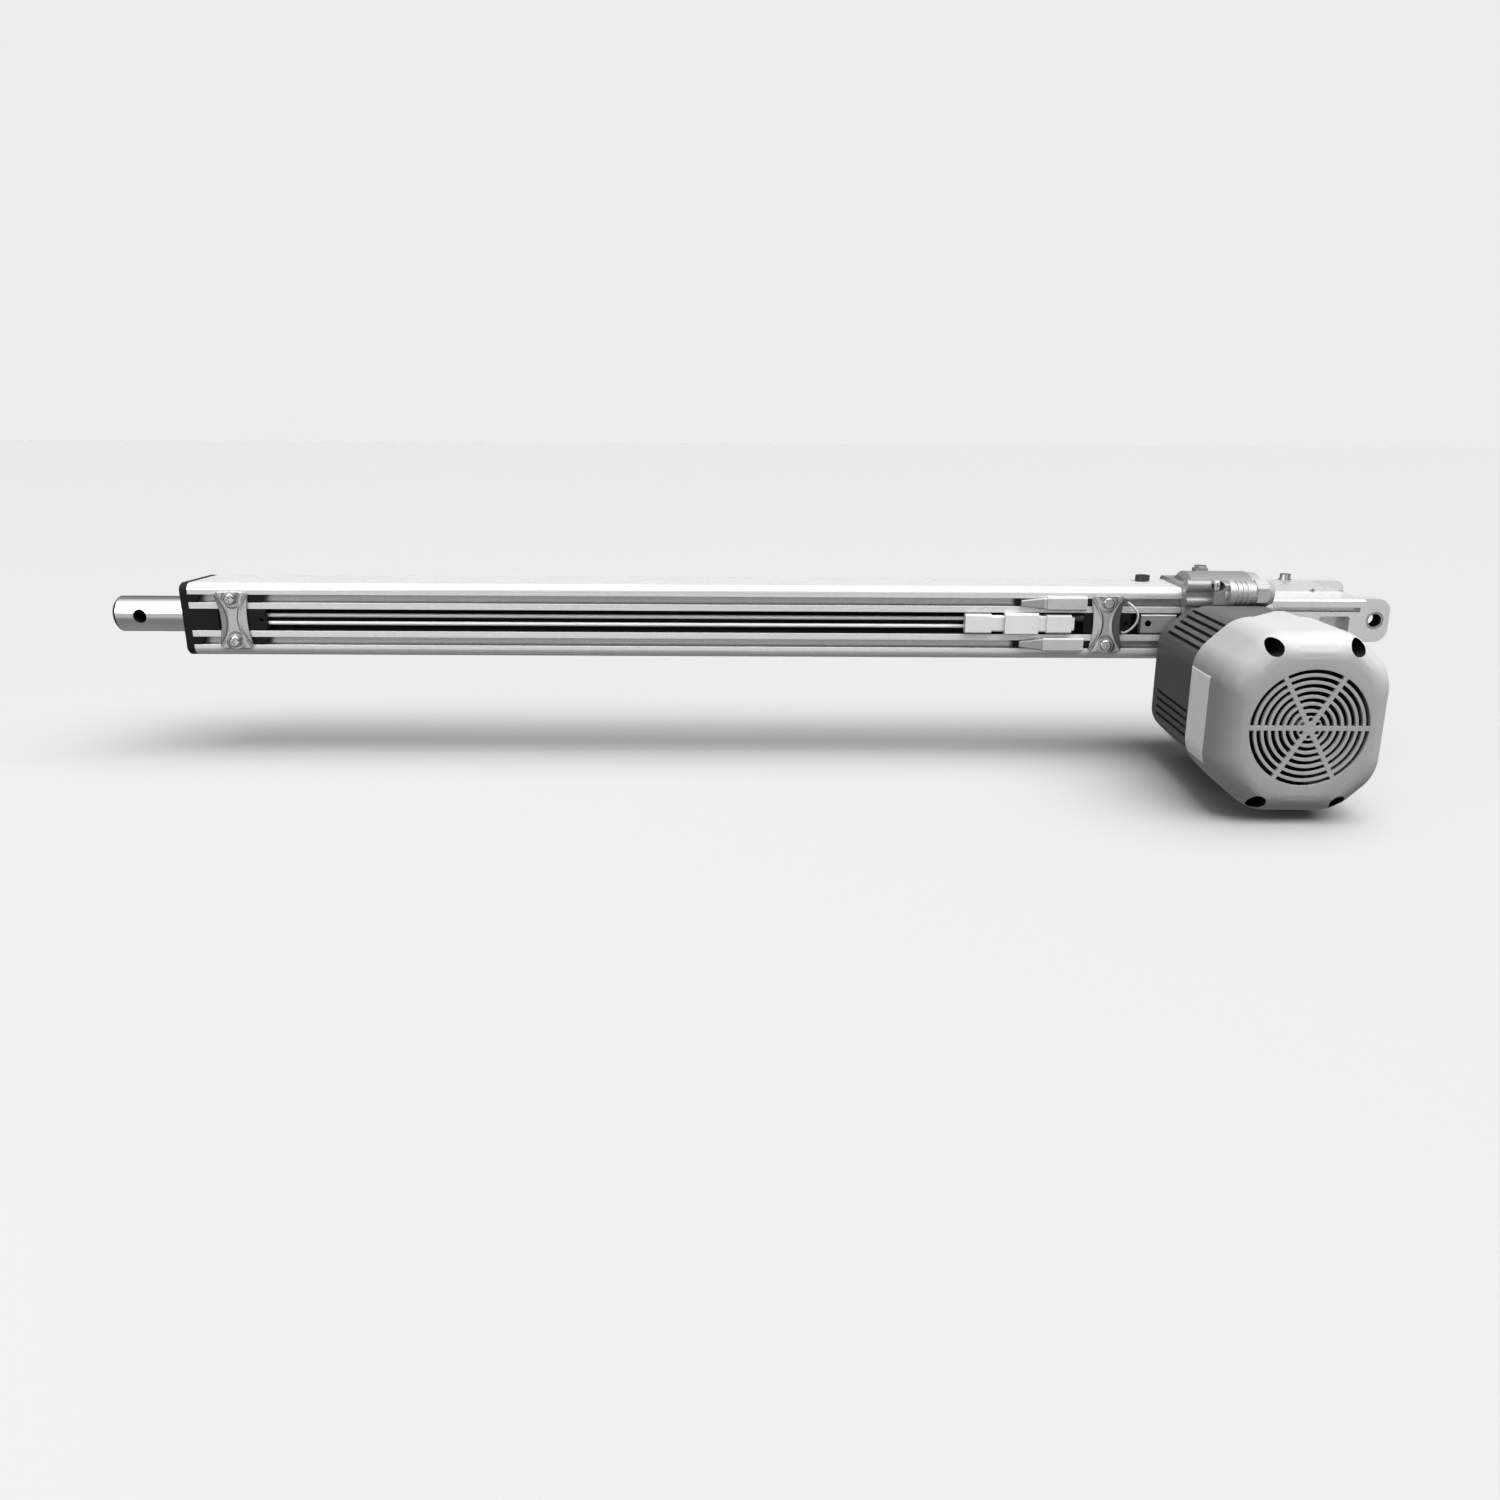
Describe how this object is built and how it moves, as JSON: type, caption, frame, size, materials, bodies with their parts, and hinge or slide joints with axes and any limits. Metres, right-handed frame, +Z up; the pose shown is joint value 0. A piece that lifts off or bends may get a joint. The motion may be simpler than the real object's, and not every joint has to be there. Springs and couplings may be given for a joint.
{
  "type": "linear actuator",
  "caption": "Electric linear actuator: slotted square tube with chromed push rod, worm gearbox, rear eye and side-mounted fan-cooled motor.",
  "frame": {"origin": "centre of the rear eye's bore, on the tube's axis", "axes": "+X along the tube towards the rear eye (the rod points to -X), motor towards -Y, +Z up"},
  "size_m": [1.0757, 0.2418, 0.151],
  "materials": {
    "anodised_extrusion": "bright drawn and clear anodised",
    "die_cast_aluminium": "as-cast, fine grained",
    "machined_aluminium": "machined, bright",
    "painted_motor_shell": "satin dark grey paint on finned aluminium",
    "grey_moulded_plastic": "fine moulded, satin",
    "black_plastic": "matt black",
    "white_nylon": "milky nylon",
    "clear_sleeve": "grey insulating sleeve",
    "chromed_steel": "hard chromed and polished",
    "zinc_steel": "bright zinc plated",
    "blackened_steel": "black oxide",
    "machined_steel": "ground",
    "lamination_steel": "stacked laminations",
    "bronze": "machined bronze",
    "copper_winding": "enamelled copper wire",
    "wire_insulation": "light grey PVC",
    "dark_cable": "dark grey PVC",
    "wiper_rubber": "matt",
    "magnet_ferrite": "sintered",
    "label_film": "blank white film"
  },
  "bodies": {
    "housing": {"profile_tube": "anodised_extrusion", "front_cap": "black_plastic", "front_cap_screws": "blackened_steel", "rod_wiper": "wiper_rubber", "rod_guide_bush": "bronze", "spindle_bearing_front": "machined_steel", "spindle_bearing_rear": "machined_steel", "gear_housing": "die_cast_aluminium", "rear_bracket": "machined_aluminium", "eye_bush": "machined_steel", "rear_plate": "machined_aluminium", "plate_screws": "zinc_steel", "earth_screw": "zinc_steel", "tube_lock_screw": "blackened_steel", "housing_screws": "zinc_steel", "grease_plug": "zinc_steel", "rib_screw": "blackened_steel", "motor_flange": "painted_motor_shell", "flange_screws": "zinc_steel", "motor_body": "painted_motor_shell", "stator_core": "lamination_steel", "stator_windings": "copper_winding", "motor_end_shield": "painted_motor_shell", "worm_bearing": "machined_steel", "motor_bearing_front": "machined_steel", "motor_bearing_rear": "machined_steel", "fan_cover": "grey_moulded_plastic", "cover_screws": "blackened_steel", "through_bolts": "blackened_steel", "rating_plate": "label_film", "outer_switch_clamp": "zinc_steel", "inner_switch_clamp": "zinc_steel", "clamp_screws": "zinc_steel", "t_nuts": "zinc_steel", "outer_limit_switch": "black_plastic", "inner_limit_switch": "black_plastic", "switch_lead": "wire_insulation", "connector_plug": "white_nylon", "connector_socket": "white_nylon", "switch_cable": "dark_cable", "upper_slot_connector": "clear_sleeve", "lower_slot_connector": "clear_sleeve", "jumper_lead": "wire_insulation", "groove_block": "die_cast_aluminium", "cable_gland": "machined_aluminium", "gland_nut": "machined_aluminium"},
    "rotor": {"motor_shaft": "machined_steel", "rotor_core": "lamination_steel", "cooling_fan": "black_plastic"},
    "spindle": {"lead_screw": "machined_steel", "spindle_end_guide": "white_nylon", "worm_wheel": "bronze", "spindle_spacers": "machined_steel"},
    "rod": {"piston_rod": "chromed_steel", "rod_end_plug": "machined_steel", "spindle_nut": "bronze", "magnet_ring": "magnet_ferrite", "nut_guide_ring": "white_nylon"}
  },
  "joints": [
    {"name": "rotor_spin", "type": "hinge", "parent": "housing", "child": "rotor", "pos_m": [-0.1356, 0, -0.042], "axis": [0, 1, 0], "range_deg": [0, 630000]},
    {"name": "spindle_spin", "type": "hinge", "parent": "housing", "child": "spindle", "pos_m": [0, 0, 0], "axis": [1, 0, 0], "range_deg": [-31500, 0]},
    {"name": "rod_slide", "type": "slide", "parent": "housing", "child": "rod", "axis": [-1, 0, 0], "range_m": [0, 0.7]}
  ],
  "couplings": [
    {"joint": "spindle_spin", "follows": "rotor_spin", "ratio": -0.05},
    {"joint": "rod_slide", "follows": "rotor_spin", "m_per_rad": 0.000063662}
  ]
}
